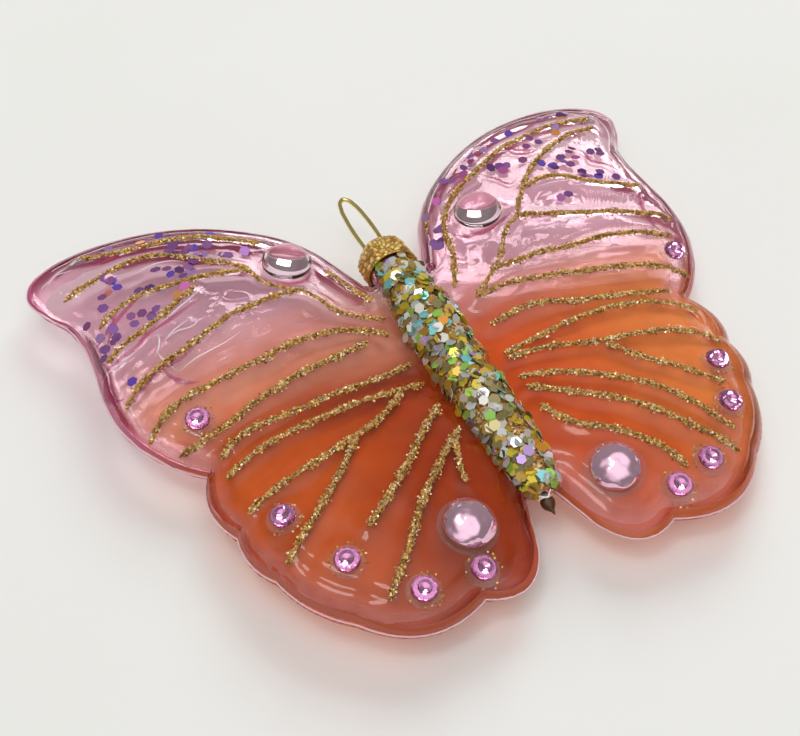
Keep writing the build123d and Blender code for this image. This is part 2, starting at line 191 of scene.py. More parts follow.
# Veins, in the outline's shares: (side, group) to lines.
veins = {
    (-1, "fore"): [
        [(0.82, 0.90), (0.69, 0.84), (0.55, 0.81), (0.42, 0.73), (0.33, 0.64)],
        [(0.19, 0.42), (0.16, 0.32), (0.12, 0.23)],
        [(0.91, 0.71), (0.78, 0.75), (0.64, 0.76), (0.51, 0.64), (0.40, 0.53)],
        [(0.85, 0.50), (0.73, 0.57), (0.60, 0.56), (0.47, 0.54), (0.40, 0.51)],
        [(0.87, 0.35), (0.72, 0.42), (0.57, 0.51)],
        [(0.87, 0.14), (0.78, 0.21), (0.66, 0.26), (0.54, 0.32), (0.42, 0.35), (0.29, 0.35)],
        [(0.85, -0.01), (0.73, 0.07), (0.61, 0.09), (0.49, 0.11), (0.36, 0.14), (0.24, 0.13), (0.13, 0.06)],
        [(0.20, 0.05), (0.32, 0.03), (0.44, 0.00), (0.56, -0.04), (0.68, -0.085), (0.79, -0.10)],
    ],
    (-1, "fore twig"): [[(0.40, 0.52), (0.38, 0.44), (0.33, 0.38), (0.29, 0.34), (0.22, 0.20), (0.11, 0.14)]],
    (-1, "hind"): [
        [(0.12, -0.08), (0.24, -0.10), (0.37, -0.11), (0.50, -0.12), (0.62, -0.13), (0.70, -0.175)],
        [(0.12, -0.18), (0.28, -0.18), (0.43, -0.19), (0.58, -0.21), (0.71, -0.26)],
        [(0.19, -0.19), (0.31, -0.29), (0.44, -0.34), (0.58, -0.38), (0.70, -0.42)],
        [(0.37, -0.32), (0.47, -0.45), (0.57, -0.55), (0.67, -0.64)],
        [(0.12, -0.29), (0.21, -0.39), (0.30, -0.50), (0.39, -0.59), (0.46, -0.65)],
        [(0.11, -0.41), (0.21, -0.52), (0.31, -0.64), (0.40, -0.77), (0.49, -0.88)],
    ],
    (-1, "hind twig"): [[(0.12, -0.42), (0.16, -0.52), (0.18, -0.62)]],
    (1, "fore"): [
        [(0.89, 0.81), (0.76, 0.81), (0.63, 0.78), (0.51, 0.73), (0.40, 0.66), (0.29, 0.58), (0.205, 0.46),
         (0.17, 0.30), (0.12, 0.17)],
        [(0.87, 0.74), (0.73, 0.70), (0.60, 0.61), (0.49, 0.49)],
        [(0.49, 0.48), (0.61, 0.49), (0.70, 0.40), (0.83, 0.33)],
        [(0.41, 0.36), (0.51, 0.30), (0.63, 0.25), (0.75, 0.20), (0.85, 0.13)],
        [(0.24, 0.17), (0.37, 0.16), (0.49, 0.14), (0.61, 0.13), (0.72, 0.10), (0.80, 0.06)],
        [(0.16, 0.09), (0.29, 0.08), (0.41, 0.04), (0.54, 0.0), (0.67, -0.045), (0.78, -0.115)],
    ],
    (1, "fore twig"): [
        [(0.49, 0.49), (0.45, 0.43), (0.41, 0.36), (0.36, 0.32), (0.28, 0.20), (0.16, 0.10)],
        [(0.155, 0.48), (0.165, 0.505), (0.18, 0.53)],
    ],
    (1, "hind"): [
        [(0.15, -0.04), (0.29, -0.03), (0.42, -0.09), (0.55, -0.13), (0.68, -0.17)],
        [(0.13, -0.18), (0.25, -0.17), (0.37, -0.16), (0.50, -0.17), (0.62, -0.21), (0.70, -0.30)],
        [(0.13, -0.20), (0.25, -0.24), (0.37, -0.30), (0.49, -0.33), (0.61, -0.38), (0.69, -0.46)],
        [(0.38, -0.31), (0.44, -0.43), (0.52, -0.53), (0.60, -0.63)],
        [(0.12, -0.30), (0.21, -0.35), (0.31, -0.44), (0.41, -0.55), (0.48, -0.67), (0.53, -0.80)],
        [(0.12, -0.35), (0.22, -0.46), (0.33, -0.58), (0.42, -0.72), (0.51, -0.87)],
        [(0.12, -0.44), (0.16, -0.55), (0.25, -0.65), (0.32, -0.76), (0.355, -0.86)],
    ],
    (1, "hind twig"): [],
}
# Stones: node to side and place in the same shares.
small_stones = {
    "rhinestone_left_1": (-1, 0.714, -0.017), "rhinestone_left_2": (-1, 0.631, -0.496),
    "rhinestone_left_3": (-1, 0.542, -0.722), "rhinestone_left_4": (-1, 0.408, -0.896),
    "rhinestone_left_5": (-1, 0.253, -0.902), "rhinestone_right_1": (1, 0.778, -0.015),
    "rhinestone_right_2": (1, 0.625, -0.540), "rhinestone_right_3": (1, 0.571, -0.706),
    "rhinestone_right_4": (1, 0.420, -0.865), "rhinestone_right_5": (1, 0.307, -0.902),
}
hind_stones = {"hind_cabochon_left": (-1, 0.232, -0.758), "hind_cabochon_right": (1, 0.188, -0.762)}
fore_stones = {"fore_cabochon_left": (-1, 0.292, 0.496), "fore_cabochon_right": (1, 0.314, 0.444)}


def through(points, count):
    """Even steps along a smooth line through points: cubic Hermite runs with a parabola's slope at each."""
    p = np.asarray(points, float)
    knot = np.r_[0, np.cumsum(np.linalg.norm(np.diff(p, axis=0), axis=1))]
    slope = np.gradient(p, knot, axis=0, edge_order=2)
    at = np.linspace(0, knot[-1], count)
    k = np.clip(np.searchsorted(knot, at, side="right") - 1, 0, len(p) - 2)
    h = (knot[k + 1] - knot[k])[:, None]
    t = (at - knot[k])[:, None] / h
    ends = (2 * t**3 - 3 * t**2 + 1) * p[k] + (3 * t**2 - 2 * t**3) * p[k + 1]
    return ends + h * ((t**3 - 2 * t**2 + t) * slope[k] + (t**3 - t**2) * slope[k + 1])


def left_of(path):
    """Unit vectors to the left of a flat path's run."""
    run = np.gradient(path, axis=0)
    return unit(np.column_stack([-run[:, 1], run[:, 0]]))


def nearest(points, line):
    """Distance in plan from each point to the closest of a line's points, a block of points at a time."""
    blocks = np.array_split(points.astype(np.float32), len(points) // 1000 + 1)
    x, y = line.astype(np.float32).T
    return np.concatenate([np.sqrt(((b[:, :1] - x) ** 2 + (b[:, 1:] - y) ** 2).min(1)) for b in blocks])


def ease(low, high, value):
    """Smooth step from 0 at low to 1 at high: 3t^2 - 2t^3."""
    t = np.clip((value - low) / (high - low), 0, 1)
    return t * t * (3 - 2 * t)


def higher(a, b, soft):
    """The greater of two heights, rounded where they cross: half of a + b + sqrt((a - b)^2 + soft^2)."""
    return 0.5 * (a + b + np.sqrt((a - b) ** 2 + soft**2))


def rounded(reach, radius):
    """Quarter round towards an edge, as a share of the full height: sqrt(1 - (1 - reach / radius)^2)."""
    return np.sqrt(1 - np.clip(1 - reach / radius, 0, 1) ** 2)


scale = np.array([half_span, half_length])
fore_line = through([(head_half, head_end)] + [tuple(p) for p in np.array(fore_edge) * scale], 190)
lobe_lines = []
last = np.array(fore_edge[-1]) * scale
for top, end in hind_lobes:
    lobe_lines.append(through([last, np.array(top) * scale, np.array(end) * scale], 26)[1:])
    last = np.array(end) * scale
tail_corner = (tail_half, tail_root)
tail_line = np.vstack([
    np.linspace(last, tail_corner, 12)[1:], np.linspace(tail_corner, (0, tail_root), 6)[1:]])
head_line = np.linspace((0, head_end), (head_half, head_end), 8)[:-1]
rim = np.vstack([head_line, fore_line, *lobe_lines, tail_line])
spine = np.linspace((0, tail_root), (0, head_end), 66)[1:-1]
edge = np.vstack([rim, spine])
on_spine = np.arange(len(edge)) >= len(rim) - 1
on_head = np.arange(len(edge)) < len(head_line)
fine_rim = through(rim, 1000)
hub = np.array([25.0, 2.0])
stations = through([(r * body_radius, tail_end + a * (head_end - tail_end)) for r, a in body_stations], 200)
vein_lines = {
    side: np.vstack([
        through(np.array(line) * scale, 56)
        for (s, _), lines in veins.items() if s == side for line in lines
    ]) for side in (-1, 1)
}
# Round the stones the glass stays plain, out to these reaches.
plain_reaches = ((small_stones, 3.0), (hind_stones, 5.0), (fore_stones, 5.2))
stone_spots = {
    side: np.array([
        (u * half_span, v * half_length, reach)
        for stones, reach in plain_reaches for s, u, v in stones.values() if s == side
    ]) for side in (-1, 1)
}


def seam_height(y):
    """Height of the mould's seam, a little lower at the hindwings."""
    return seam_up - seam_drop * ease(5, -10, y)


def body_girth(y):
    """Radius of the body at a place along it."""
    return np.interp(y, stations[:, 1], stations[:, 0])


def dome_heights(x, y):
    """Heights of the domes, spheres of radius b with their crowns at c: c - b + sqrt(b^2 - d^2)."""
    return [c - b + np.sqrt(b * b - (x - cx) ** 2 - (y - cy) ** 2) for cx, cy, c, b in domes]


def united(heights):
    """Rounded union of the three domes."""
    return higher(higher(heights[0], heights[1], dome_blend), heights[2], dome_blend)


def swell(x, y):
    """Slow unevenness of blown glass: crossed sine waves 5 to 13 mm long, bent by each other."""
    bend = 1.3 * np.sin(x / 4.1 + 0.7) + 1.1 * np.sin(y / 3.7 + 2.1)
    slow = np.sin(0.52 * x + 0.31 * y + bend) + np.sin(0.27 * x - 0.61 * y + 1.4 * bend + 1.0)
    quick = np.sin(1.25 * x - 0.55 * y + 2.2 * bend) + np.sin(0.45 * x + 1.35 * y - 1.7 * bend + 2.0)
    return 0.10 * slow + 0.035 * quick


def glass_top(plan, side, relief=1.0):
    """Height of the upper glass: the domes' rounded union and the body's half round, plus ribs along the
    veins, exp(-(d/w)^2), hollows beside them, creased exp(-|d|/w) on the forewings, a lower border, and a
    quarter round down to the rim."""
    flat = plan.reshape(-1, 2)
    x, y = flat.T
    reach = nearest(flat, fine_rim)
    line = nearest(flat, vein_lines[side])
    spots = stone_spots[side]
    clear = np.min(np.hypot(x[:, None] - spots[:, 0], y[:, None] - spots[:, 1]) - spots[:, 2], axis=1)
    ahead = ease(-6, 4, y)
    rib = (rib_rise + rib_more * ahead) * np.exp(-(line / rib_reach) ** 2)
    groove = groove_depth * np.exp(-((line - groove_place) / groove_reach) ** 2)
    crease = crease_depth * (ease(-2, 6, y) * np.exp(-np.abs(line - crease_place) / crease_reach))
    uneven = (0.45 + 0.55 * ahead) * swell(side * x, y)
    shape = (rib - groove - crease) * ease(-0.5, 2.0, clear) + uneven * ease(-0.5, 1.5, clear)
    shape = shape * ease(0.5, 4.0, reach) - border_drop * (1 - ease(3.4, 4.8, reach))
    z = united(dome_heights(x, y)) + relief * shape
    radius = body_girth(y)
    ridge = body_axis + np.sqrt(np.clip(radius**2 - x**2, 0, None))
    z = np.where(x < radius, higher(z, ridge, body_blend), z)
    middle = seam_height(y)
    return (middle + (z - middle) * rounded(reach, rim_rounding)).reshape(plan.shape[:-1])


def glass_under(plan):
    """Height of the lower glass: the domes mirrored, the body's half round below, flat where it stands."""
    flat = plan.reshape(-1, 2)
    x, y = flat.T
    mirrored = [height - (crown - seat_depth) for height, (_, _, crown, _) in zip(dome_heights(x, y), domes)]
    radius = body_girth(y)
    belly = body_axis - np.sqrt(np.clip(radius**2 - x**2, 0, None))
    z = -united(mirrored)
    z = np.maximum(np.where(x < radius, np.minimum(z, belly), z), 0.0)
    middle = seam_height(y)
    z = middle + (z - middle) * rounded(nearest(flat, fine_rim), rim_rounding)
    return z.reshape(plan.shape[:-1])


def weave(rows, columns, flip=False, closed=True):
    """Four-cornered faces of a grid, whose columns close on themselves unless closed is off."""
    r, c = np.meshgrid(np.arange(rows - 1), np.arange(columns if closed else columns - 1), indexing="ij")
    n = (c + 1) % columns
    faces = np.stack([r * columns + c, r * columns + n, (r + 1) * columns + n, (r + 1) * columns + c], -1)
    return (faces[..., ::-1] if flip else faces).reshape(-1, 4)


def lifted(plan, z, side):
    """Points of one side, from places in plan and heights."""
    return np.concatenate([plan * (side, 1), z[..., None]], -1)


def about_axis(radius, along, angle, sag=0.0):
    """Rings about the body's axis: x = r sin a, y along it, z = axis + sag + r cos a."""
    x = radius * np.sin(angle)
    return np.dstack([x, np.broadcast_to(along, x.shape), body_axis + sag + radius * np.cos(angle)])


def piece(name, parts, body, materials, replaces=(), smooth=True, merge=None):
    """A mesh object from (points in mm, faces, material number, colours) groups, riding on a body."""
    points, faces, kinds, tints, start = [], [], [], [], 0
    for p, f, kind, tint in parts:
        p = np.asarray(p, float).reshape(-1, 3)
        points.append(p * 0.001)
        faces.extend((np.asarray(f) + start).tolist())
        kinds.append(np.full(len(f), kind))
        tints.append(np.broadcast_to([1.0, 1.0, 1.0, 1.0] if tint is None else tint, (len(p), 4)))
        start += len(p)
    mesh = bpy.data.meshes.new(name)
    mesh.from_pydata(np.vstack(points).tolist(), [], faces)
    mesh.polygons.foreach_set("material_index", np.concatenate(kinds).astype(np.int32))
    mesh.polygons.foreach_set("use_smooth", np.full(len(mesh.polygons), smooth))
    if any(tint is not None for _, _, _, tint in parts):
        colours = mesh.attributes.new("tint", "FLOAT_COLOR", "POINT")
        colours.data.foreach_set("color", np.vstack(tints).ravel())
    for material in materials:
        mesh.materials.append(material)
    if merge:
        grid = bmesh.new()
        grid.from_mesh(mesh)
        bmesh.ops.remove_doubles(grid, verts=grid.verts, dist=merge * 0.001)
        bmesh.ops.dissolve_degenerate(grid, edges=grid.edges, dist=1e-7)
        grid.to_mesh(mesh)
        grid.free()
    mesh.update()
    made = bpy.data.objects.new(name, mesh)
    scene.collection.objects.link(made)
    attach(made, body)
    if replaces:
        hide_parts(*replaces)
    return made


# Rows from the hub to the edge, closer together towards it, and where the thick edge begins.
spread = np.r_[np.linspace(0, 0.9, 46), 1 - 0.1 * (np.linspace(1, 0, 17)[1:]) ** 1.6]
under_spread = np.r_[np.linspace(0, 0.9, 14), 1 - 0.1 * (np.linspace(1, 0, 11)[1:]) ** 1.6]
rim_start, under_rim_start = 0.982, 0.93
# Colours of the thick edge at the forewings and the hindwings: deep outside, by side, and pale inwards.
rim_hues = {
    side: np.array([linear(fore), linear(hind)])
    for side, fore, hind in ((-1, "#BE5A82", "#B4573E"), (1, "#D283A2", "#C8623A"))
}
pale_hues = np.array([linear("#FFF6F8"), linear("#E2A184")])


def shell_side(side):
    """Outer skin of one side, above and below: rays from a hub, P = hub + s (edge - hub), s from 0 to 1. The
    outermost rows are the thick edge, wider below and paler inwards."""
    over, below = (hub + s[:, None, None] * (edge - hub) for s in (spread, under_spread))
    parts = []
    for plan, z, flip, s, start in (
        (over, glass_top(over, side), side < 0, spread, rim_start),
        (below, glass_under(below), side > 0, under_spread, under_rim_start),
    ):
        points = lifted(plan, z, side)
        faces = weave(*z.shape, flip=flip)
        thick = np.outer(s[:-1] > start, ~on_spine & ~on_head).ravel()
        hue = ease(6, -10, plan.reshape(-1, 2)[:, 1:])
        deep, pale = (fore + hue * (hind - fore) for fore, hind in (rim_hues[side], pale_hues))
        tint = deep + ease(0.985, 0.95, np.repeat(s, len(edge)))[:, None] * (pale - deep)
        parts += [(points, faces[~thick], 0, tint), (points, faces[thick], 1, tint)]
    return parts


inner_edge = hub + (edge - hub) * (1 - rim_inset / np.linalg.norm(edge - hub, axis=1))[:, None]
inner_edge[on_spine, 0] = 0
inner_edge[0, 0] = 0
inner_edge[on_spine, 1] = np.clip(edge[on_spine, 1], tail_root + tail_inset, head_end - head_inset)
inner_edge[:len(head_line) + 1, 1] = head_end - head_inset
inner_spread = np.r_[np.linspace(0, 0.92, 34), 1 - 0.08 * (np.linspace(1, 0, 8)[1:]) ** 1.5]


def hollow_side(side):
    """Inner skin of one side, the outer one drawn in by the wall, facing into the hollow."""
    plan = hub + inner_spread[:, None, None] * (inner_edge[::2] - hub)
    reach = nearest(plan.reshape(-1, 2), through(inner_edge[:len(rim)], 900)).reshape(plan.shape[:2])
    bulge = rounded(reach, inner_rounding)
    middle = seam_height(plan[..., 1])
    top = glass_top(plan, side, relief=0.75) - wall - middle
    low = glass_under(plan) + wall - middle
    top = middle + np.clip(top, least_hollow, None) * bulge
    low = middle + np.clip(low, None, -least_hollow) * bulge
    return plan, top, low, reach


glass_parts, hollows = [], {}
for side in (1, -1):
    glass_parts += shell_side(side)
    plan, top, low, reach = hollows[side] = hollow_side(side)
    for z, flip in ((top, side > 0), (low, side < 0)):
        glass_parts.append((lifted(plan, z, side), weave(*z.shape, flip=flip), 0, None))
# The neck, a plain tube under the cap, and the tip of the tail: profiles turned about the body's axis.
turn = np.linspace(0, 2 * np.pi, 49)[:-1]
neck_line = np.array([
    (3.9, 15.2), (3.9, 21.7), (3.75, 22.15), (3.4, neck_end), (3.05, 22.1), (2.9, 21.7), (2.9, 15.2),
    (3.9, 15.2)])
tip = np.vstack([stations[stations[:, 1] < -31][::-1], [(0.0, tail_end)]])
tip_line = np.vstack([[(0.0, tip[0, 1])], tip])
for line, flip in ((neck_line, True), (tip_line, False)):
    rings = about_axis(line[:, :1], line[:, 1:], turn)
    glass_parts.append((rings, weave(*rings.shape[:2], flip=flip), 0, None))
# The mould's seam, a fine ground ridge round the wings from the neck to the tail: a small ring carried
# along it.
seam_line = rim[len(head_line):]
lap = np.linspace(0, 2 * np.pi, 7)[:-1]
seam_across = seam_half_width * np.cos(lap) + seam_shift
plan = seam_line[:, None] + left_of(seam_line)[:, None] * seam_across[:, None]
z = seam_height(seam_line[:, 1:]) + seam_half_height * np.sin(lap)
seam_parts = [(lifted(plan, z, side), weave(*z.shape, flip=side > 0), 0, None) for side in (1, -1)]


def lit_through(tree, skin, clear, room_too=False):
    """A skin that is only clear to light on its way from the lamp, and with room_too to the room's light."""
    rays = node(tree, "LightPath")
    passing, output = rays, "Is Shadow Ray"
    if room_too:
        either = [(0, rays, "Is Shadow Ray"), (1, rays, "Is Diffuse Ray")]
        passing, output = node(tree, "Math", links=either, operation="MAXIMUM"), "Value"
    return node(tree, "MixShader", links=[
        ("Fac", passing, output), (1, skin, "BSDF"), (2, clear, "BSDF")])


# Soda-lime glass, blown in a mould and pink in the mass: clear, very smooth, and deeper in colour
# where the eye looks along the wall, as at the rim and the ribs.
pink_glass, tree = blank("pink_blown_glass")
skin = node(tree, "BsdfPrincipled", {
    "Base Color": linear("#FFF4F8"), "Roughness": 0.02, "IOR": 1.5, "Transmission Weight": 1.0})
clear = node(tree, "BsdfTransparent", {"Color": linear("#FDF6F9")})
passing = lit_through(tree, skin, clear, room_too=True)
pink = node(tree, "VolumeAbsorption", {"Color": linear("#FBD3E4"), "Density": 165.0})
node(tree, "OutputMaterial", links=[("Surface", passing, "Shader"), ("Volume", pink, "Volume")])

# The same glass at the rim, where it is thick: the eye looks along it, so it is deep pink, and warmer
# round the lacquered hindwings.
thick_glass, tree = blank("thick_pink_glass")
depth = node(tree, "Attribute", attribute_name="tint")
skin = node(tree, "BsdfPrincipled", {"Roughness": 0.05, "IOR": 1.5}, [("Base Color", depth, "Color")])
clear = node(tree, "BsdfTransparent", links=[("Color", depth, "Color")])
node(tree, "OutputMaterial", links=[("Surface", lit_through(tree, skin, clear), "Shader")])

piece("glass_butterfly", glass_parts, "glass", [pink_glass, thick_glass], ["glass_shell"],
      merge=0.002)

# The same glass where the mould's halves met, ground a little: half matt, and pale, partly from the
# grinding and partly as a painted highlight along the rim.
seam_glass_with_painted_highlight, tree = blank("ground_pink_glass_painted_highlight")
skin = node(tree, "BsdfPrincipled", {
    "Base Color": linear("#EFCDD6"), "Roughness": 0.3, "IOR": 1.5})
node(tree, "OutputMaterial", links=[("Surface", skin, "BSDF")])
piece("mould_seam", seam_parts, "glass", [seam_glass_with_painted_highlight])

# Folds in the glass, and painted highlights along them
# Where the mould's ribs pinched the glass it is folded and thick, and shows as deep pink lines beside the
# veins. The thin white lines beside them are painted highlights, where the edge of a fold would shine.
# Both are thin ribbons laid on the glass.

ribbon_lift = 0.04
# Half width in mm, colour and cover of each kind, and the lines in the outline's shares. The white kind is
# painted highlight.
fold_and_highlight_kinds = {"pink": (0.5, "#AC3E68", 0.9), "white": (0.17, "#FFF4F8", 0.75)}
fold_and_highlight_lines = {
    (-1, "pink"): [
        [(0.533, 0.808), (0.617, 0.845), (0.694, 0.847), (0.746, 0.832), (0.826, 0.857)],
        [(0.911, 0.311), (0.885, 0.322), (0.837, 0.335), (0.78, 0.35), (0.746, 0.381), (0.671, 0.413),
         (0.567, 0.457)],
        [(0.895, 0.433), (0.84, 0.47), (0.82, 0.489), (0.797, 0.535), (0.77, 0.565)],
        [(0.88, 0.119), (0.846, 0.151), (0.815, 0.169), (0.775, 0.205), (0.746, 0.215), (0.685, 0.23),
         (0.62, 0.275)],
        [(0.895, 0.298), (0.904, 0.251), (0.894, 0.203), (0.865, 0.175)],
        [(0.743, 0.213), (0.723, 0.165), (0.667, 0.118)],
        [(0.355, 0.445), (0.32, 0.405), (0.27, 0.40), (0.235, 0.43)],
        [(0.86, 0.39), (0.81, 0.49), (0.74, 0.55), (0.70, 0.58)],
        [(0.886, 0.316), (0.897, 0.24), (0.883, 0.17)],
    ],
    (-1, "white"): [
        [(0.712, 0.322), (0.679, 0.358), (0.608, 0.392)],
        [(0.96, 0.823), (0.937, 0.868), (0.876, 0.871), (0.831, 0.853)],
        [(0.90, 0.30), (0.86, 0.318), (0.80, 0.333), (0.765, 0.358)],
        [(0.70, 0.70), (0.64, 0.715), (0.60, 0.70), (0.55, 0.645)],
        [(0.75, 0.28), (0.722, 0.33), (0.716, 0.39)],
        [(0.705, 0.336), (0.662, 0.354), (0.616, 0.356), (0.587, 0.382)],
        [(0.735, 0.303), (0.731, 0.245), (0.709, 0.192)],
        [(0.79, 0.546), (0.73, 0.565), (0.66, 0.564), (0.59, 0.558)],
        [(0.73, 0.39), (0.66, 0.43), (0.58, 0.476), (0.53, 0.51)],
        [(0.711, 0.186), (0.65, 0.213), (0.57, 0.23), (0.49, 0.265)],
    ],
    (1, "pink"): [
        [(0.205, 0.406), (0.244, 0.36), (0.303, 0.349), (0.367, 0.369), (0.403, 0.388)],
        [(0.401, 0.636), (0.439, 0.595), (0.465, 0.538), (0.498, 0.538)],
        [(0.535, 0.731), (0.577, 0.709), (0.629, 0.683)],
        [(0.262, 0.595), (0.303, 0.616), (0.35, 0.647), (0.386, 0.653)],
        [(0.832, 0.344), (0.803, 0.256), (0.78, 0.191), (0.779, 0.122), (0.785, 0.069)],
        [(0.405, 0.334), (0.474, 0.305), (0.519, 0.284)],
        [(0.748, 0.633), (0.762, 0.59), (0.755, 0.54), (0.787, 0.498), (0.814, 0.422)],
        [(0.528, 0.753), (0.562, 0.69), (0.65, 0.676)],
        [(0.242, 0.615), (0.318, 0.679), (0.38, 0.653)],
    ],
    (1, "white"): [
        [(0.453, 0.668), (0.491, 0.71), (0.528, 0.716), (0.59, 0.675)],
        [(0.52, 0.46), (0.62, 0.455), (0.70, 0.375)],
        [(0.44, 0.32), (0.53, 0.265), (0.64, 0.215)],
        [(0.946, 0.882), (0.923, 0.72), (0.845, 0.56), (0.82, 0.49)],
    ],
}


def ribbon(line, side, half_width, code, cover):
    """Thin strip along a line: P(s, t) = line(s) + t w(s) sideways, on the glass; its cover falls off to both
    edges and ends."""
    path = through(np.array(line) * scale, len(line) * 14)
    s = np.linspace(0, 1, len(path))
    taper = np.sqrt(np.sin(np.pi * np.clip(s, 0.002, 0.998)))[:, None]
    t = np.linspace(-1, 1, 5)
    plan = path[:, None] + left_of(path)[:, None] * (half_width * taper * t)[..., None]
    z = glass_top(plan, side) + ribbon_lift
    tint = np.tile(linear(code), (*z.shape, 1))
    tint[..., 3] = cover * taper * (1 - t**2)
    return lifted(plan, z, side), weave(*z.shape, flip=side > 0, closed=False), 0, tint.reshape(-1, 4)


# Folded pink glass: the glass of the shell, several walls deep, so only its colour is left. The white
# ribbons in the same material are painted highlights.
folds_and_painted_highlights, tree = blank("folded_glass_and_painted_highlights")
depth = node(tree, "Attribute", attribute_name="tint")
skin = node(tree, "BsdfPrincipled", {"Roughness": 0.1, "IOR": 1.5}, [
    ("Base Color", depth, "Color"), ("Alpha", depth, "Alpha")])
node(tree, "OutputMaterial", links=[("Surface", skin, "BSDF")])
piece("glass_folds_and_painted_highlights", [
    ribbon(line, side, *fold_and_highlight_kinds[kind]) for (side, kind), lines in fold_and_highlight_lines.items() for line in lines],
    "glass", [folds_and_painted_highlights])

# Orange lacquer
# A film of orange lacquer, sprayed on the inside of the hindwings and of the rear of the forewings,
# deepest by the body and fading out to the pink glass ahead of it and at the border.

# By side: where it fades towards the head and how that slants, where it fades to the rim and how ragged
# that is, its deep, light and faded colours, and how much of the faded one the forewing's rear has. The
# left side's deep and light oranges are darker: painted shade, for the wings that face away from the lamp.
head_fades = {-1: (0.40, 0.02, 0.10), 1: (0.28, -0.10, 0.14)}
rim_fades = {-1: (-0.5, 3.5, 0.8), 1: (0.5, 7.5, 1.5)}
oranges_left_shaded = {-1: ("#9E3C0A", "#CE6420", "#FFC49C"), 1: ("#DC6018", "#EA9444", "#FAC0A2")}
peach_shares = {-1: 0.5, 1: 0.2}
film_lift = 0.10


def lacquer_side(side):
    """Film in the inner face of the upper glass: its cover is the product of a fade towards the head and one
    towards the rim; its colour goes from deep to light orange outwards, and to peach where it fades."""
    plan, top, _, reach = hollows[side]
    x, y = plan[..., 0], plan[..., 1]
    u, v = x / half_span, y / half_length
    streak = 0.5 + 0.5 * np.sin(x * 0.9 + 2.3 * np.sin(y * 0.35)) * np.sin(y * 1.1 + 1.0)
    start, end, slant = head_fades[side]
    ahead = ease(start, end, v + slant * (u - 0.5))
    start, end, ragged = rim_fades[side]
    border = ease(start, end, reach + ragged * streak)
    floor = 0.10 + 0.28 * ease(0.02, -0.2, v)
    deep, light, peach = (np.array(linear(code)) for code in oranges_left_shaded[side])
    outward = ease(0.12, 0.62, u - 0.12 * np.abs(v + 0.35))[..., None]
    tint = deep + (light - deep) * outward
    fade = np.clip(1.1 * (1 - ahead), 0, 1)
    fade = np.maximum(fade, peach_shares[side] * ease(-0.14, 0.06, v))[..., None]
    tint = tint + (peach - tint) * fade
    tint[..., 3] = 0.97 * ahead * (floor + (1 - floor) * border)
    return lifted(plan, top + film_lift, side), weave(*top.shape, flip=side < 0), 0, tint.reshape(-1, 4)


# Orange spirit lacquer: a translucent coloured film, half glossy, a little uneven.
orange_lacquer, tree = blank("orange_spirit_lacquer")
film = node(tree, "Attribute", attribute_name="tint")
uneven = clouded(tree, 160.0, 3.0, [(0.3, "#E8DCD6"), (0.7, "#FFFFFF")])
colour = node(
    tree, "Mix", {0: 1.0}, [(6, film, "Color"), (7, uneven, "Color")],
    data_type="RGBA", blend_type="MULTIPLY")
skin = node(tree, "BsdfPrincipled", {"Roughness": 0.5, "Specular IOR Level": 0.0}, [
    ("Base Color", colour, 2), ("Alpha", film, "Alpha")])
warm = node(
    tree, "Mix", {6: linear("#FFFFFF"), 7: linear("#EDAE80")}, [(0, film, "Alpha")],
    data_type="RGBA")
clear = node(tree, "BsdfTransparent", links=[("Color", warm, 2)])
passing = lit_through(tree, skin, clear, room_too=True)
node(tree, "OutputMaterial", links=[("Surface", passing, "Shader")])

piece("orange_film", [lacquer_side(1), lacquer_side(-1)], "glass", [orange_lacquer],
      merge=0.002)

# Glitter lines
# Veins drawn by hand with a nozzle of clear glue full of fine gold glitter: a low uneven bead, rough
# with small square flakes that stand at all angles, and loose ones beside it.

rng = np.random.default_rng(41)
vein_width, twig_width, bead_rise = 1.5, 1.15, 0.2
flecks_per_mm, fleck_size, fleck_tilt = 30, 0.27, 0.55
loose_count, loose_size, loose_tilt, loose_rise = 26, 0.25, 0.4, 0.12
# Fleck colours: gold shades of the film, with painted shade in the darkest brown and painted glints in the
# near-white one.
golds_and_glints = np.array([linear(code) for code in (
    "#E4B45E", "#C8924A", "#F6D898", "#A8743A", "#FFF4D4", "#EEC474", "#80522A")])
gold_odds = [0.26, 0.20, 0.17, 0.13, 0.07, 0.12, 0.05]


def bead(line, side, width):
    """Half-round bead along a line: P(s, a) = line(s) + w(s) sin a sideways, raised w-wise by cos a."""
    path = through(np.array(line) * scale, max(int(len(line) * 22), 40))
    rows = len(path)
    sideways = left_of(path)
    s = np.linspace(0, 1, rows)
    phase = rng.uniform(0, 6.28, 3)
    uneven = 1 + 0.22 * np.sin(s * rows * 0.31 + phase[0]) + 0.16 * np.sin(s * rows * 0.73 + phase[1])
    taper = np.sqrt(np.clip(np.minimum(s, 1 - s) * rows / 3.0, 0.002, 1))
    w = 0.30 * width * uneven * taper
    a = np.linspace(-np.pi / 2, np.pi / 2, 7)
    plan = path[:, None] + sideways[:, None] * (w[:, None] * np.sin(a))[..., None]
    rise = bead_rise * (width / vein_width) * taper[:, None] * uneven[:, None] * np.cos(a) - 0.06
    z = glass_top(plan, side) + rise
    # Every face starts at the same corner, so that all are split the same way.
    faces = np.roll(weave(*z.shape, flip=True, closed=False), 1, axis=1)
    return lifted(plan, z, side), faces[:, ::-1] if side > 0 else faces, path, sideways, w


def spun(up, lean):
    """Two unit vectors across up and each other: up crossed with a random way rising by lean, and again."""
    spin = rng.uniform(0, 2 * np.pi, len(up))
    one = unit(np.cross(up, np.column_stack([np.cos(spin), np.sin(spin), np.full(len(up), lean)])))
    return one, np.cross(up, one)


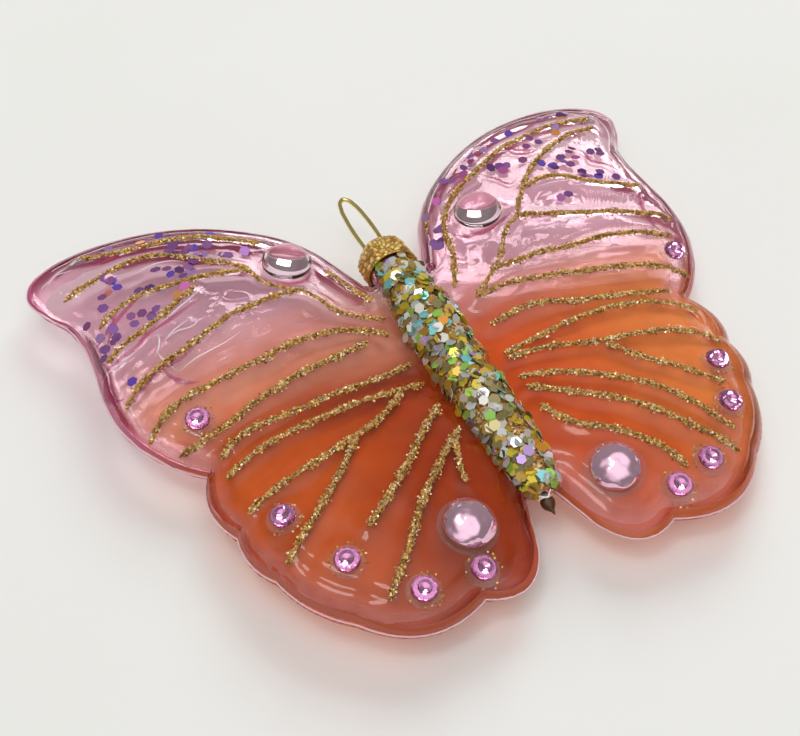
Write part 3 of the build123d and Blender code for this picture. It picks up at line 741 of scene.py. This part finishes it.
def flecks(plan, rise, side, size, tilt):
    """Small square flakes at places in plan, lifted off the glass and turned at random."""
    count = len(plan)
    centre = lifted(plan, glass_top(plan, side) + rise, side)
    up = unit(np.column_stack([rng.normal(0, tilt, count), rng.normal(0, tilt, count), np.ones(count)]))
    one, two = spun(up, 0.0)
    half = (size * rng.uniform(0.75, 1.25, count))[:, None, None] * 0.5
    corners = np.array([(-1, -1), (1, -1), (1, 1), (-1, 1)])
    square = corners[None, :, :1] * one[:, None] + corners[None, :, 1:] * two[:, None]
    tints = golds_and_glints[rng.choice(len(golds_and_glints), count, p=gold_odds)]
    faces = np.arange(count * 4).reshape(-1, 4)
    return centre[:, None] + half * square, faces, 1, np.repeat(tints, 4, axis=0)


# Clear glue crowded with gold: seen as a close gold grain, light and dark from flake to flake; its darkest
# grains are painted shade and its near-white ones painted glints. The grain is drawn at 0.35 mm, a little
# coarser than the real 0.2 mm, so that it shows.
gold_glue, tree = blank("gold_glitter_glue")
spot = node(tree, "TexCoord")
grain = node(tree, "TexVoronoi", {"Scale": 1000 / 0.35}, [("Vector", spot, "Object")])
pick = node(tree, "SeparateColor", links=[("Color", grain, "Color")])
tone = blend_stops(node(tree, "ValToRGB", links=[("Fac", pick, "Red")]), [
    (0.0, "#744A20"), (0.35, "#B07C3A"), (0.6, "#D8A65C"), (0.85, "#F0D08C"), (1.0, "#FFF4D4")])
bumps = node(tree, "Bump", {"Strength": 0.9, "Distance": 0.00025}, [("Height", pick, "Green")])
skin = node(tree, "BsdfPrincipled", {"Metallic": 0.4, "Roughness": 0.3}, [
    ("Base Color", tone, "Color"), ("Normal", bumps, "Normal")])
node(tree, "OutputMaterial", links=[("Surface", skin, "BSDF")])

# Gold-coloured metallised film, cut small: each flake a little mirror of its own shade.
gold_film, tree = blank("gold_metallised_film")
shade = node(tree, "Attribute", attribute_name="tint")
skin = node(tree, "BsdfPrincipled", {"Metallic": 0.6, "Roughness": 0.2}, [("Base Color", shade, "Color")])
node(tree, "OutputMaterial", links=[("Surface", skin, "BSDF")])

for side, name in ((-1, "left"), (1, "right")):
    for wing in ("fore", "hind"):
        parts = []
        for width, lines in ((vein_width, veins[side, wing]), (twig_width, veins[side, wing + " twig"])):
            for line in lines:
                points, faces, path, sideways, w = bead(line, side, width)
                parts.append((points, faces, 0, None))
                run = np.linalg.norm(np.diff(path, axis=0), axis=1).sum()
                count = int(run * flecks_per_mm * width / vein_width)
                k = rng.integers(0, len(path), count)
                off = np.clip(rng.normal(0, 0.7, count), -1.7, 1.7)
                jitter = rng.uniform(-0.13, 0.13, (count, 2))
                plan = path[k] + sideways[k] * (off * w[k])[:, None] + jitter
                plan[:, 0] = np.abs(plan[:, 0])
                rise = bead_rise * np.sqrt(np.clip(1 - off**2, 0, 1)) * (width / vein_width) + 0.05
                parts.append(flecks(plan, rise, side, fleck_size, fleck_tilt))
        # Loose glitter in the glue round the small stones.
        for s, u, v in small_stones.values():
            if s == side and (v > -0.1) == (wing == "fore"):
                angle = rng.normal(rng.uniform(0, 6.28), 1.3, loose_count)
                reach = rng.uniform(2.15, 2.95, loose_count)
                plan = np.column_stack([
                    u * half_span + reach * np.cos(angle), v * half_length + reach * np.sin(angle)])
                parts.append(flecks(plan, loose_rise, side, loose_size, loose_tilt))
        node_name = f"veins_{name}_{wing}"
        piece(f"glitter_{node_name}", parts, "glass", [gold_glue, gold_film], [node_name])

# Body flakes
# The back of the body, brushed with glue and dipped in large six-sided flakes of holographic film,
# which lie over each other like scales and flash in different colours.

flake_count, flake_tilt, flake_half, crust_rise = 640, 0.26, 0.025, 0.22
# Flake colours: the silver, gold and yellow ones are the film's own; the lime, cyan, lilac, orange and pink
# ones are painted glints, and the darkest olive is painted shade.
holo_tints_and_glints = np.array([linear(code) for code in (
    "#A89C68", "#C8CAC8", "#867C48", "#E4E6E2", "#E2CC3C", "#F2EFE4", "#C8A038", "#AEE86A", "#8FE0E6",
    "#CDAAE6", "#E39A35", "#625A34", "#F0DC5A", "#E7A6C8")])
holo_odds = [0.11, 0.06, 0.08, 0.11, 0.12, 0.13, 0.14, 0.07, 0.06, 0.03, 0.03, 0.02, 0.03, 0.01]


def hexes(centre, up, across_flats, tints):
    """Six-sided flakes with a little thickness: corners at 60 degrees round the centre, in the plane across
    up."""
    one, two = spun(up, 0.31)
    angle = np.arange(6) * np.pi / 3
    reach = (0.5 * across_flats / np.cos(np.pi / 6))[:, None, None]
    flat = reach * (np.cos(angle)[None, :, None] * one[:, None] + np.sin(angle)[None, :, None] * two[:, None])
    half = flake_half * up[:, None]
    points = np.concatenate([centre[:, None] + flat + half, centre[:, None] + flat - half], 1)
    one_flake = [(0, 1, 2, 3), (0, 3, 4, 5), (9, 8, 7, 6), (11, 10, 9, 6)]
    one_flake += [(i, i + 6, (i + 1) % 6 + 6, (i + 1) % 6) for i in range(6)]
    faces = (np.arange(len(centre))[:, None, None] * 12 + np.array(one_flake)).reshape(-1, 4)
    return points, faces, np.repeat(tints, 12, axis=0)


def coat_share(y):
    """How far round the body the coat reaches, as a share: less towards the head."""
    return 1 - 0.38 * ease(4.0, head_end - 2.0, y)


# The crust of glue below the flakes: the body's upper half round, a little larger.
along = np.linspace(0.012, 1.0, 110) * (head_end - 0.4 - tail_end) + tail_end
lean = np.linspace(-1.72, 1.72, 33) * coat_share(along)[:, None]
crust = about_axis((body_girth(along) + crust_rise)[:, None], along[:, None], lean)

y = rng.uniform(tail_end + 0.8, head_end + 0.3, flake_count)
radius = body_girth(y)
keep = rng.uniform(0, 1, flake_count) < (0.35 + 0.65 * radius / radius.max())
y, radius = y[keep], radius[keep]
lean_at = rng.uniform(-1.5, 1.5, len(y)) * coat_share(y)
slope = body_girth(y + 0.5) - body_girth(y - 0.5)
up = np.column_stack([np.sin(lean_at), -slope, np.cos(lean_at)])
up = unit(up + rng.normal(0, flake_tilt, (len(y), 3)))
lift = radius + rng.uniform(0.3, 0.9, len(y)) * (1 - 0.5 * ease(head_end - 4.0, head_end, y))
centre = np.column_stack([lift * np.sin(lean_at), y, body_axis + lift * np.cos(lean_at)])
flake_points, flake_faces, flake_tints = hexes(
    centre, up, rng.uniform(1.4, 1.75, len(y)), holo_tints_and_glints[rng.choice(len(holo_tints_and_glints), len(y), p=holo_odds)])

# Holographic polyester film: a thin mirror whose colour differs from flake to flake.
holo_film, tree = blank("holographic_film")
shade = node(tree, "Attribute", attribute_name="tint")
skin = node(tree, "BsdfPrincipled", {
    "Metallic": 0.5, "Roughness": 0.2, "Coat Weight": 0.4, "Coat Roughness": 0.05}, [
    ("Base Color", shade, "Color")])
node(tree, "OutputMaterial", links=[("Surface", skin, "BSDF")])

crust_faces = weave(*crust.shape[:2], closed=False)
piece("body_flakes", [
    (crust, crust_faces, 0, None), (flake_points, flake_faces, 1, flake_tints)],
    "glass", [gold_glue, holo_film], ["body_glitter"], smooth=False)

# Wing flakes
# Purple flakes of the same film, strewn on the fore part of the forewings while their varnish was
# wet. They lie flat on the glass, singly and in little heaps.

heaped_count, flake_margin, slope_step = 14, 0.9, 0.3
flake_places = {
    -1: [
        (0.79, 0.91), (0.73, 0.92), (0.58, 0.88), (0.44, 0.8), (0.51, 0.82), (0.64, 0.87), (0.56, 0.78),
        (0.58, 0.75), (0.56, 0.73), (0.51, 0.73), (0.51, 0.68), (0.47, 0.72), (0.45, 0.65), (0.43, 0.63),
        (0.38, 0.63), (0.64, 0.68), (0.61, 0.66), (0.58, 0.63), (0.55, 0.61), (0.58, 0.59), (0.77, 0.71),
        (0.78, 0.73), (0.76, 0.66), (0.79, 0.65), (0.81, 0.64), (0.82, 0.59), (0.71, 0.6), (0.68, 0.59),
        (0.59, 0.53), (0.62, 0.5), (0.76, 0.5), (0.73, 0.49), (0.76, 0.46), (0.69, 0.48), (0.71, 0.46),
        (0.82, 0.47), (0.82, 0.43), (0.83, 0.42), (0.88, 0.55), (0.86, 0.41), (0.83, 0.22),
    ],
    1: [
        (0.83, 0.88), (0.81, 0.87), (0.75, 0.9), (0.75, 0.79), (0.74, 0.76), (0.6, 0.84), (0.54, 0.82),
        (0.66, 0.73), (0.61, 0.72), (0.48, 0.78), (0.47, 0.8), (0.43, 0.77), (0.41, 0.71), (0.38, 0.71),
        (0.36, 0.67), (0.5, 0.64), (0.48, 0.65), (0.48, 0.62), (0.56, 0.64), (0.72, 0.62), (0.68, 0.6),
        (0.72, 0.57), (0.67, 0.56), (0.6, 0.58), (0.63, 0.56), (0.63, 0.54), (0.81, 0.58), (0.78, 0.58),
        (0.69, 0.46), (0.71, 0.45), (0.74, 0.44), (0.79, 0.41), (0.3, 0.69), (0.24, 0.6), (0.18, 0.55),
        (0.14, 0.52), (0.18, 0.45), (0.15, 0.41), (0.17, 0.4), (0.16, 0.38), (0.6, 0.38),
    ],
}
# Flake colours: the purples, violets, magenta and lilac are the film's own; the orange, red-orange, pale pink
# and green ones are painted glints.
purples_and_glints = np.array([linear(code) for code in (
    "#8B5A9E", "#A06FB4", "#9C5C96", "#6E4480", "#BC92CC", "#7A58CC", "#CC66B0", "#F6A65A", "#F08878",
    "#F6C8D2", "#5ED896")])
purple_odds = [0.24, 0.18, 0.17, 0.13, 0.09, 0.06, 0.05, 0.03, 0.02, 0.02, 0.01]
rim_ray = fine_rim - hub
rim_angle = np.arctan2(rim_ray[:, 1], rim_ray[:, 0])
rim_order = np.argsort(rim_angle)
rim_reach = np.hypot(*rim_ray.T)
parts = []
for side, places in flake_places.items():
    plan = np.array(places) * scale
    heaped = plan[rng.integers(0, len(plan), heaped_count)] + rng.normal(0, 1.0, (heaped_count, 2))
    plan = np.vstack([plan, heaped])
    ray = plan - hub
    limit = np.interp(np.arctan2(ray[:, 1], ray[:, 0]), rim_angle[rim_order], rim_reach[rim_order])
    plan = plan[np.hypot(*ray.T) < limit - flake_margin]
    z = glass_top(plan, side)
    slope_x, slope_y = (
        (glass_top(plan + step, side) - z) / slope_step for step in ((slope_step, 0), (0, slope_step)))
    up = unit(np.column_stack([-side * slope_x, -slope_y, np.ones(len(plan))]))
    up = unit(up + rng.normal(0, 0.1, up.shape))
    centre = lifted(plan, z + rng.uniform(0.12, 0.3, len(plan)), side)
    tints = purples_and_glints[rng.choice(len(purples_and_glints), len(plan), p=purple_odds)]
    points, faces, tint = hexes(centre, up, rng.uniform(1.45, 1.8, len(plan)), tints)
    parts.append((points, faces, 0, tint))
piece("wing_flakes", parts, "glass", [holo_film], smooth=False)

# Small stones
# Ten flat-backed rhinestones of pink-lilac cut glass, 4 mm across, foiled on the back, each pressed
# into a drop of clear glue that rises round its edge.
cut_sides, bed_sides = 12, 40


def seated(side, u, v):
    """A stone's place and axes: on the higher wing dome there, its own axis along the dome's outward way."""
    x, y = u * half_span, v * half_length
    heights = dome_heights(x, y)[:2]
    z = max(heights)
    cx, cy, crown, bend = domes[heights.index(z)]
    up = np.array([side * (x - cx), y - cy, z - (crown - bend)]) / bend
    one = unit(np.cross([0, 1, 0], up))
    return np.array([side * x, y, z]), np.array([one, np.cross(up, one), up])


def turned(profile, sides):
    """Rings about an axis, (radius, height, turn in steps), each with the same number of corners."""
    rings = np.array(profile, float)
    angle = (np.arange(sides)[None] + rings[:, 2:3]) * 2 * np.pi / sides
    height = np.repeat(rings[:, 1:2], sides, 1)
    return np.dstack([rings[:, :1] * np.cos(angle), rings[:, :1] * np.sin(angle), height])


def facets(rows, sides):
    """Triangles between rings that are turned half a step against each other."""
    r, c = np.meshgrid(np.arange(rows - 1), np.arange(sides), indexing="ij")
    n = (c + 1) % sides
    a, b, d, e = r * sides + c, r * sides + n, (r + 1) * sides + c, (r + 1) * sides + n
    return np.concatenate([np.stack([a, b, d], -1).reshape(-1, 3), np.stack([b, e, d], -1).reshape(-1, 3)])


def set_stone(rings, sides, place, faceted):
    """A turned form carried to a stone's place."""
    spot, axes = seated(*place)
    faces = facets(len(rings), sides) if faceted else weave(len(rings), sides)
    return spot + turned(rings, sides).reshape(-1, 3) @ axes, faces


cut_crown = [
    (0.0, 0.36, 0), (1.95, 0.36, 0), (2.0, 0.72, 0), (1.55, 1.38, 0.5), (0.95, 1.85, 1.0), (0.0, 1.9, 1.0)]
cut_foil = [(1.88, 0.74, 0.5), (1.35, 0.42, 0.0), (0.75, 0.62, 0.5), (0.0, 0.44, 0.0)]
glue_bed = [
    (0.0, -0.45, 0), (2.66, -0.45, 0), (2.58, -0.15, 0), (2.42, 0.08, 0), (2.22, 0.28, 0), (2.04, 0.52, 0),
    (1.93, 0.36, 0), (0.0, 0.34, 0)]

# Pink-lilac crystal glass, pressed and polished: clear, sharp-edged, strongly refracting.
lilac_crystal, tree = blank("lilac_crystal_glass")
skin = node(tree, "BsdfPrincipled", {
    "Base Color": linear("#F2B4E2"), "Roughness": 0.01, "IOR": 1.55, "Transmission Weight": 1.0})
clear = node(tree, "BsdfTransparent", {"Color": linear("#F6D8EE")})
node(tree, "OutputMaterial", links=[("Surface", lit_through(tree, skin, clear), "Shader")])

# Silver foil behind the glass: a bright mirror, faintly pink.
pink_foil, tree = blank("pink_mirror_foil")
skin = node(tree, "BsdfPrincipled", {
    "Base Color": linear("#F8DCEE"), "Metallic": 1.0, "Roughness": 0.08})
node(tree, "OutputMaterial", links=[("Surface", skin, "BSDF")])

# Clear acrylic glue, dried: water-clear, rounded, faintly yellow.
clear_glue, tree = blank("clear_acrylic_glue")
skin = node(tree, "BsdfPrincipled", {
    "Base Color": linear("#F0D2C4"), "Roughness": 0.1, "IOR": 1.5, "Alpha": 0.1})
node(tree, "OutputMaterial", links=[("Surface", skin, "BSDF")])

for name, place in small_stones.items():
    crown = set_stone(cut_crown, cut_sides, place, True)
    foil = set_stone(cut_foil, cut_sides, place, True)
    piece(f"{name}_cut", [(*crown, 0, None), (*foil, 1, None)], "glass", [lilac_crystal, pink_foil], [name],
          smooth=False, merge=0.001)
    bed = set_stone(glue_bed, bed_sides, place, False)
    piece(f"{name}_bed", [(*bed, 0, None)], "glass", [clear_glue], [f"{name}_glue"],
          merge=0.001)

# Large stones
# Two domed acrylic stones with a pink mirror back on the hindwings, 8 mm across, and two clear pink
# ones without a mirror on the forewings, 8.5 mm across, glued on in the same way.

girdle, dome_sides = 1.1, 64


def dome_rings(reach, top):
    """Profile of a domed stone: flat back, short upright edge, then a cap of a sphere."""
    rise = top - girdle
    ball = (reach**2 + rise**2) / (2 * rise)
    lean = np.linspace(np.arcsin(reach / ball), 0, 15)
    cap = [(ball * np.sin(a), top - ball + ball * np.cos(a), 0) for a in lean]
    return [(0.0, 0.36, 0), (reach - 0.15, 0.36, 0), (reach, 0.5, 0)] + cap


def collar_rings(reach):
    """A flat bed of glue with a rounded collar round a stone's edge."""
    return [
        (0.0, -0.7, 0), (reach + 0.72, -0.7, 0), (reach + 0.6, -0.25, 0), (reach + 0.42, 0.05, 0),
        (reach + 0.2, 0.3, 0), (reach + 0.03, 0.55, 0), (reach - 0.1, 0.36, 0), (0.0, 0.34, 0)]


# Clear pink acrylic, moulded: smooth and glossy, and bends what lies behind it.
pink_acrylic, tree = blank("pink_acrylic")
skin = node(tree, "BsdfPrincipled", {
    "Base Color": linear("#FCE0EC"), "Roughness": 0.02, "IOR": 1.49, "Transmission Weight": 1.0})
clear = node(tree, "BsdfTransparent", {"Color": linear("#F8E4EE")})
node(tree, "OutputMaterial", links=[("Surface", lit_through(tree, skin, clear), "Shader")])

# The same acrylic over a pink mirror: a polished dome in which the room shows, bent by foil that is
# uneven every 2 to 3 mm.
foiled_acrylic, tree = blank("foiled_pink_acrylic")
spot = node(tree, "TexCoord")
crease = node(tree, "TexNoise", {"Scale": 1000 / 2.6, "Detail": 1.0}, [("Vector", spot, "Object")])
wave = node(tree, "Bump", {"Strength": 0.7, "Distance": 0.0012}, [("Height", crease, "Fac")])
skin = node(tree, "BsdfPrincipled", {
    "Base Color": linear("#FFCFE8"), "Metallic": 0.85, "Roughness": 0.05, "Coat Weight": 0.6,
    "Coat Roughness": 0.02}, [("Normal", wave, "Normal")])
node(tree, "OutputMaterial", links=[("Surface", skin, "BSDF")])

for stones, reach, top, material, slot in (
    (hind_stones, 4.0, 3.35, foiled_acrylic, "foiled_stone"),
    (fore_stones, 4.25, 3.6, pink_acrylic, "clear_stone"),
):
    for name, place in stones.items():
        dome = set_stone(dome_rings(reach, top), dome_sides, place, False)
        piece(f"{name}_dome", [(*dome, 0, None)], "glass", [material], [name], merge=0.001)
        bed = set_stone(collar_rings(reach), dome_sides, place, False)
        piece(f"{name}_bed", [(*bed, 0, None)], "glass", [clear_glue], [f"{name}_glue"],
              merge=0.001)

# Tail drop
# A drop of brown glue that ran to the end of the tail and set there with a short thread. A profile turned
# about the body's axis, hanging below it.

turn = np.linspace(0, 2 * np.pi, 29)[:-1]
drop = np.array([
    (0.0, -34.6), (0.75, -34.9), (1.1, -35.5), (1.15, -36.1), (0.9, -36.7), (0.55, -37.1), (0.28, -37.5),
    (0.14, -38.0), (0.0, -38.15)])
sag = 0.10 * (drop[:, 1:] + 36.0) - 1.3
drip = about_axis(drop[:, :1], drop[:, 1:], turn, sag)

# Brown hide glue: dark amber, glossy, a little clear.
brown_glue, tree = blank("brown_glue")
tone = clouded(tree, 900.0, 2.0, [(0.3, "#3A220C"), (0.7, "#6B4418")])
skin = node(tree, "BsdfPrincipled", {"Roughness": 0.2, "IOR": 1.5}, [("Base Color", tone, "Color")])
node(tree, "OutputMaterial", links=[("Surface", skin, "BSDF")])
piece("tail_glue", [(drip, weave(*drip.shape[:2]), 0, None)], "glass", [brown_glue], ["tail_drop"],
      merge=0.001)

# Cap
# A six-sided acorn cap, pressed from thin brass sheet and hammered all over, lacquered gold. It sits
# on the neck, and the wire's two legs go through holes in its flat end.

cap_mouth, cap_end, cap_inner_end = 17.6, 23.8, 23.35
plate, inner_plate, hole, hole_place = 3.1, 2.65, 0.505, 1.8
blow_count, cap_steps = 320, 160
turn = np.arange(cap_steps) * 2 * np.pi / cap_steps
cap_line = through([(4.805, cap_mouth), (5.18, 19.584), (4.43, neck_end), (3.4, 23.6)], 60)
cap_line = np.vstack([cap_line, [(3.26, 23.74), (plate, cap_end)]])
cap_r, cap_y = cap_line[:, :1], cap_line[:, 1:]
flat_share = 0.88 + 0.09 * ease(cap_mouth + 1.6, cap_mouth, cap_y) + 0.035 * ease(20.6, 22.0, cap_y)
flat_to = cap_r * flat_share / np.cos((turn + np.pi / 6) % (np.pi / 3) - np.pi / 6)
six_sided = -higher(-cap_r, -flat_to, 0.05)
# Hammer blows leave a nugget round each of these places, lower where two of them meet.
seeds = np.column_stack([
    rng.uniform(0, 2 * np.pi, blow_count), rng.uniform(cap_mouth - 0.5, cap_end + 0.3, blow_count)])
gap = np.abs(turn[None, :, None] - seeds[:, 0])
gap = np.minimum(gap, 2 * np.pi - gap) * 4.7
blow = np.sqrt(gap**2 + (cap_y[..., None] - seeds[:, 1]) ** 2)
close = np.argmin(blow, axis=-1)
blow = np.partition(blow, 1, axis=-1)[..., :2]
nugget = rng.uniform(0.14, 0.34, blow_count)[close] * ease(0.0, 0.38, blow[..., 1] - blow[..., 0]) - 0.12
hammered = six_sided + nugget * ease(cap_mouth, cap_mouth + 0.5, cap_y) * ease(cap_end, cap_end - 0.35, cap_y)
cap_outside = about_axis(hammered, cap_y, turn)
inside_line = np.array([
    (4.6, cap_mouth), (4.18, cap_mouth + 0.25), (4.18, 20.6), (3.98, 20.8), (3.98, 22.5),
    (inner_plate, cap_inner_end)])
cap_inside = about_axis(inside_line[:, :1], inside_line[:, 1:], turn)
joined = np.concatenate([cap_outside[::-1], cap_inside])
# The cap's tint: dark in the hammer dents and light on the nuggets, painted shade and painted highlight.
dent = np.concatenate([nugget[::-1], np.zeros((len(inside_line), cap_steps))])
shade = ease(-0.06, 0.08, dent).reshape(-1, 1) * np.ones(4)


def plate_half(side):
    """Half of the cap's end: rings between a half disc's outline and a wire hole, outer face, hole wall,
    inner face."""
    arc = turn[:cap_steps // 2 + 1]
    chord = np.column_stack([np.zeros(30), np.linspace(-1, 1, 32)[1:-1]])
    outline = np.vstack([np.column_stack([np.sin(arc), np.cos(arc)]), chord])
    centre = np.array([hole_place, 0.0])
    bore = centre + hole * unit(outline * plate - centre)
    rings = [
        (outline * plate, cap_end), (0.5 * (outline * plate + bore), cap_end), (bore, cap_end),
        (bore, cap_inner_end), (outline * inner_plate, cap_inner_end)]
    points = np.array([
        np.column_stack([side * p[:, 0], np.full(len(p), y), body_axis + p[:, 1]]) for p, y in rings])
    return points, weave(len(rings), len(outline), flip=side < 0)


# Gold-lacquered brass: painted lighter on the high spots, a painted highlight, and brown in the dents,
# painted shade.
gold_brass, tree = blank("gold_lacquered_brass")
dent_shade = node(tree, "Attribute", attribute_name="tint")
spot = node(tree, "TexCoord")
speck = node(tree, "TexNoise", {"Scale": 1400.0, "Detail": 3.0}, [("Vector", spot, "Object")])
tone = blend_stops(node(tree, "ValToRGB", links=[("Fac", dent_shade, "Fac")]), [
    (0.0, "#BE8A3E"), (0.5, "#E6BA5E"), (1.0, "#FCE08E")])
grit = node(tree, "Bump", {"Strength": 0.35, "Distance": 0.0002}, [("Height", speck, "Fac")])
skin = node(tree, "BsdfPrincipled", {"Metallic": 0.6, "Roughness": 0.22}, [
    ("Base Color", tone, "Color"), ("Normal", grit, "Normal")])
node(tree, "OutputMaterial", links=[("Surface", skin, "BSDF")])
cap_parts = [(joined, weave(*joined.shape[:2]), 0, shade)]
cap_parts += [(*plate_half(side), 0, np.ones(4)) for side in (1, -1)]
piece("hammered_cap", cap_parts, "cap", [gold_brass], ["cap"], merge=0.002)

# Hanging wire
# One length of soft brass wire, 0.85 mm thick, bent by hand to a long round loop. Its two legs go through
# the cap's holes and spring out inside the neck.

wire_radius, wire_sides = 0.425, 20
leg = [
    (2.205, 9.8), (2.205, 14.3), (1.8, 17.4), (1.8, 18.0), (1.8, 24.0), (1.8, 24.6), (1.93, 29.0),
    (1.8, 33.0), (1.36, 36.7), (0.72, 38.55)]
loop_top = (0.0, 39.075)
route = through([(-x, y) for x, y in leg] + [loop_top] + leg[::-1], 260)


def wire_along(route):
    """Round wire along a flat route: P(s, a) = route(s) + r (cos a sideways + sin a up), ends closed."""
    sideways = -left_of(route)
    reach = np.r_[0, np.full(len(route), wire_radius), 0][:, None]
    route, sideways = (np.vstack([rows[:1], rows, rows[-1:]]) for rows in (route, sideways))
    lap = np.linspace(0, 2 * np.pi, wire_sides + 1)[:-1]
    plan = route[:, None] + sideways[:, None] * (reach * np.cos(lap))[..., None]
    return np.dstack([plan, body_axis + reach * np.sin(lap)])


# Drawn brass wire: smooth, warm yellow, faintly clouded.
brass_wire, tree = blank("drawn_brass_wire")
tone = clouded(tree, 700.0, 2.0, [(0.3, "#ECD68A"), (0.7, "#F6E4A6")])
skin = node(tree, "BsdfPrincipled", {"Metallic": 0.9, "Roughness": 0.1}, [("Base Color", tone, "Color")])
node(tree, "OutputMaterial", links=[("Surface", skin, "BSDF")])
wire = wire_along(route)
piece("bent_wire", [(wire, weave(*wire.shape[:2], flip=True), 0, None)], "hanger", [brass_wire],
      ["hanger_wire"], merge=0.001)
